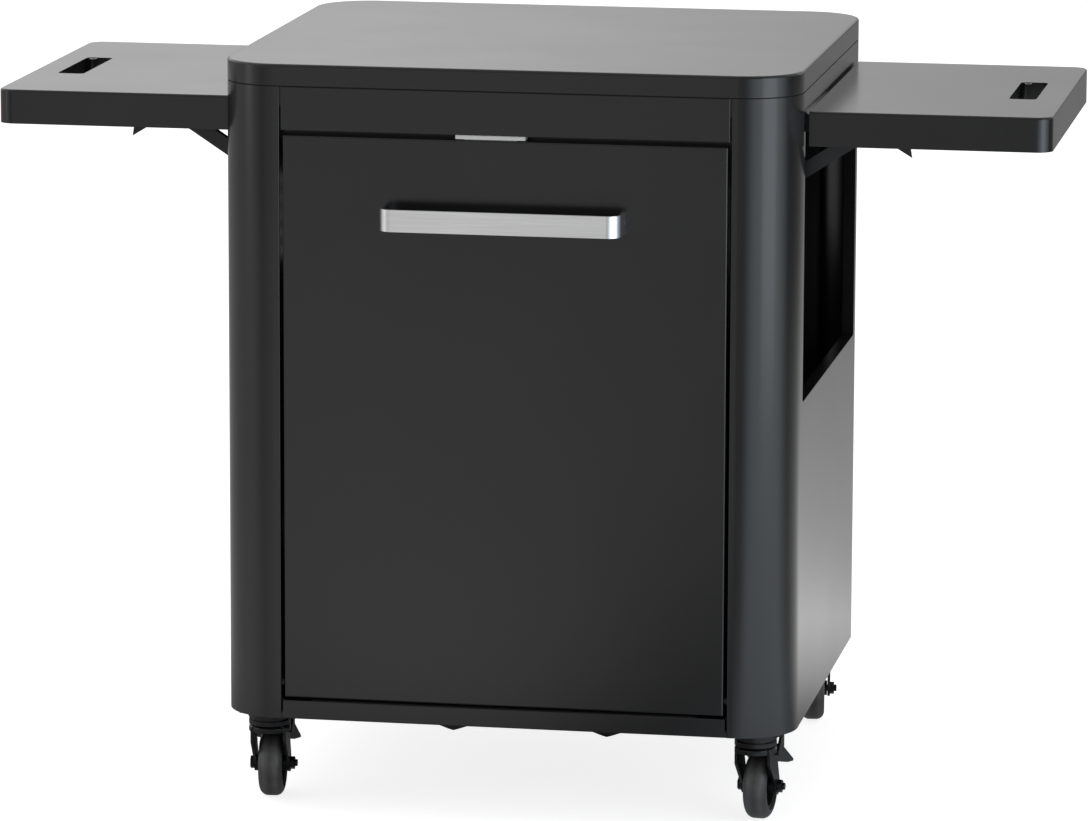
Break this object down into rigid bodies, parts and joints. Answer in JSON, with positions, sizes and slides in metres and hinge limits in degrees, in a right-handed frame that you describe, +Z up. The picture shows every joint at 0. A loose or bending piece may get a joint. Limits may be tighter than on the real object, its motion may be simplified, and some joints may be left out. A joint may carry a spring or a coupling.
{
  "type": "grill base",
  "caption": "Wheeled outdoor grill base cabinet in black sheet steel, with a drop-front door, a strap handle, folding side shelves and braked swivel casters.",
  "frame": {"origin": "floor under the middle of the cabinet", "axes": "+X to the right seen from the front, front faces -Y, +Z up"},
  "size_m": [1.2, 0.6668, 0.857],
  "materials": {
    "black_coat": "satin black powder coat",
    "bracket_coat": "black coated folding bracket",
    "caster_steel": "black coated pressed steel",
    "brushed_handle": "brushed along its length",
    "zinc_steel": "zinc plated",
    "white_plastic": "pale moulded catch",
    "nylon": "black nylon",
    "hub_plastic": "moulded black",
    "tyre_rubber": "black tread",
    "pedal_black": "black ribbed pedal"
  },
  "bodies": {
    "cabinet": {"worktop": "black_coat", "top_collar": "black_coat", "left_side_panel": "black_coat", "right_side_panel": "black_coat", "back_panel": "black_coat", "floor_pan": "black_coat", "bottle_well": "black_coat", "front_fascia": "black_coat", "bottom_rail": "black_coat", "left_uprights": "black_coat", "right_uprights": "black_coat", "left_wall_plates": "bracket_coat", "right_wall_plates": "bracket_coat", "magnet_catch": "white_plastic", "hinge_pins": "bracket_coat", "caster_plates": "caster_steel", "caster_bolts": "caster_steel", "back_screws": "zinc_steel"},
    "door": {"door_skin": "black_coat", "door_inner": "black_coat", "handle": "brushed_handle", "handle_studs": "zinc_steel", "keeper_plate": "zinc_steel", "door_bushes": "nylon"},
    "left_shelf_unit": {"left_shelf": "black_coat", "left_shelf_arms": "bracket_coat"},
    "left_front_strut_body": {"left_front_strut": "bracket_coat"},
    "left_front_lever_body": {"left_front_lever": "bracket_coat"},
    "left_rear_strut_body": {"left_rear_strut": "bracket_coat"},
    "left_rear_lever_body": {"left_rear_lever": "bracket_coat"},
    "right_shelf_unit": {"right_shelf": "black_coat", "right_shelf_arms": "bracket_coat"},
    "right_front_strut_body": {"right_front_strut": "bracket_coat"},
    "right_front_lever_body": {"right_front_lever": "bracket_coat"},
    "right_rear_strut_body": {"right_rear_strut": "bracket_coat"},
    "right_rear_lever_body": {"right_rear_lever": "bracket_coat"},
    "front_left_swivel": {"front_left_fork": "caster_steel", "front_left_axle": "caster_steel"},
    "front_left_wheel": {"front_left_hub": "hub_plastic", "front_left_tyre": "tyre_rubber"},
    "front_left_brake": {"front_left_pedal": "pedal_black"},
    "rear_left_swivel": {"rear_left_fork": "caster_steel", "rear_left_axle": "caster_steel"},
    "rear_left_wheel": {"rear_left_hub": "hub_plastic", "rear_left_tyre": "tyre_rubber"},
    "rear_left_brake": {"rear_left_pedal": "pedal_black"},
    "front_right_swivel": {"front_right_fork": "caster_steel", "front_right_axle": "caster_steel"},
    "front_right_wheel": {"front_right_hub": "hub_plastic", "front_right_tyre": "tyre_rubber"},
    "front_right_brake": {"front_right_pedal": "pedal_black"},
    "rear_right_swivel": {"rear_right_fork": "caster_steel", "rear_right_axle": "caster_steel"},
    "rear_right_wheel": {"rear_right_hub": "hub_plastic", "rear_right_tyre": "tyre_rubber"},
    "rear_right_brake": {"rear_right_pedal": "pedal_black"}
  },
  "joints": [
    {"name": "door_hinge", "type": "hinge", "parent": "cabinet", "child": "door", "pos_m": [0, -0.292, 0.1507], "axis": [1, 0, 0], "range_deg": [0, 90]},
    {"name": "left_shelf_fold", "type": "hinge", "parent": "cabinet", "child": "left_shelf_unit", "pos_m": [-0.3105, 0, 0.793], "axis": [0, -1, 0], "range_deg": [0, 90]},
    {"name": "left_front_strut_pivot", "type": "hinge", "parent": "cabinet", "child": "left_front_strut_body", "pos_m": [-0.3105, -0.2, 0.7322], "axis": [0, -1, 0], "range_deg": [0, 123.17]},
    {"name": "left_front_lever_pivot", "type": "hinge", "parent": "left_shelf_unit", "child": "left_front_lever_body", "pos_m": [-0.4015, -0.21, 0.79], "axis": [0, 1, 0], "range_deg": [0, 15], "stiffness_Nm_per_rad": 0.02, "springref_deg": -17.19},
    {"name": "left_rear_strut_pivot", "type": "hinge", "parent": "cabinet", "child": "left_rear_strut_body", "pos_m": [-0.3105, 0.2, 0.7322], "axis": [0, -1, 0], "range_deg": [0, 123.17]},
    {"name": "left_rear_lever_pivot", "type": "hinge", "parent": "left_shelf_unit", "child": "left_rear_lever_body", "pos_m": [-0.4015, 0.21, 0.79], "axis": [0, 1, 0], "range_deg": [0, 15], "stiffness_Nm_per_rad": 0.02, "springref_deg": -17.19},
    {"name": "right_shelf_fold", "type": "hinge", "parent": "cabinet", "child": "right_shelf_unit", "pos_m": [0.3105, 0, 0.793], "axis": [0, 1, 0], "range_deg": [0, 90]},
    {"name": "right_front_strut_pivot", "type": "hinge", "parent": "cabinet", "child": "right_front_strut_body", "pos_m": [0.3105, -0.2, 0.7322], "axis": [0, 1, 0], "range_deg": [0, 123.17]},
    {"name": "right_front_lever_pivot", "type": "hinge", "parent": "right_shelf_unit", "child": "right_front_lever_body", "pos_m": [0.4015, -0.21, 0.79], "axis": [0, -1, 0], "range_deg": [0, 15], "stiffness_Nm_per_rad": 0.02, "springref_deg": -17.19},
    {"name": "right_rear_strut_pivot", "type": "hinge", "parent": "cabinet", "child": "right_rear_strut_body", "pos_m": [0.3105, 0.2, 0.7322], "axis": [0, 1, 0], "range_deg": [0, 123.17]},
    {"name": "right_rear_lever_pivot", "type": "hinge", "parent": "right_shelf_unit", "child": "right_rear_lever_body", "pos_m": [0.4015, 0.21, 0.79], "axis": [0, -1, 0], "range_deg": [0, 15], "stiffness_Nm_per_rad": 0.02, "springref_deg": -17.19},
    {"name": "front_left_swivel_turn", "type": "hinge", "parent": "cabinet", "child": "front_left_swivel", "pos_m": [-0.2805, -0.245, 0.0906], "axis": [0, 0, 1], "continuous": true},
    {"name": "front_left_wheel_roll", "type": "hinge", "parent": "front_left_swivel", "child": "front_left_wheel", "pos_m": [-0.28294, -0.21962, 0.038], "axis": [0.9954, 0.0958, 0], "continuous": true},
    {"name": "front_left_brake_press", "type": "hinge", "parent": "front_left_swivel", "child": "front_left_brake", "pos_m": [-0.28184, -0.23106, 0.0795], "axis": [-0.9954, -0.0958, 0], "range_deg": [0, 4]},
    {"name": "rear_left_swivel_turn", "type": "hinge", "parent": "cabinet", "child": "rear_left_swivel", "pos_m": [-0.2805, 0.245, 0.0906], "axis": [0, 0, 1], "continuous": true},
    {"name": "rear_left_wheel_roll", "type": "hinge", "parent": "rear_left_swivel", "child": "rear_left_wheel", "pos_m": [-0.28228, 0.27044, 0.038], "axis": [0.9976, 0.0698, 0], "continuous": true},
    {"name": "rear_left_brake_press", "type": "hinge", "parent": "rear_left_swivel", "child": "rear_left_brake", "pos_m": [-0.28148, 0.25897, 0.0795], "axis": [-0.9976, -0.0698, 0], "range_deg": [0, 4]},
    {"name": "front_right_swivel_turn", "type": "hinge", "parent": "cabinet", "child": "front_right_swivel", "pos_m": [0.2805, -0.245, 0.0906], "axis": [0, 0, 1], "continuous": true},
    {"name": "front_right_wheel_roll", "type": "hinge", "parent": "front_right_swivel", "child": "front_right_wheel", "pos_m": [0.28272, -0.2196, 0.038], "axis": [0.9962, -0.0872, 0], "continuous": true},
    {"name": "front_right_brake_press", "type": "hinge", "parent": "front_right_swivel", "child": "front_right_brake", "pos_m": [0.28172, -0.23105, 0.0795], "axis": [-0.9962, 0.0872, 0], "range_deg": [0, 4]},
    {"name": "rear_right_swivel_turn", "type": "hinge", "parent": "cabinet", "child": "rear_right_swivel", "pos_m": [0.2805, 0.245, 0.0906], "axis": [0, 0, 1], "continuous": true},
    {"name": "rear_right_wheel_roll", "type": "hinge", "parent": "rear_right_swivel", "child": "rear_right_wheel", "pos_m": [0.27695, 0.27025, 0.038], "axis": [0.9903, 0.1392, 0], "continuous": true},
    {"name": "rear_right_brake_press", "type": "hinge", "parent": "rear_right_swivel", "child": "rear_right_brake", "pos_m": [0.27855, 0.25886, 0.0795], "axis": [-0.9903, -0.1392, 0], "range_deg": [0, 4]}
  ],
  "couplings": [
    {"joint": "left_front_strut_pivot", "follows": "left_shelf_fold", "ratio": 1.368},
    {"joint": "left_rear_strut_pivot", "follows": "left_shelf_fold", "ratio": 1.368},
    {"joint": "right_front_strut_pivot", "follows": "right_shelf_fold", "ratio": 1.368},
    {"joint": "right_rear_strut_pivot", "follows": "right_shelf_fold", "ratio": 1.368}
  ]
}
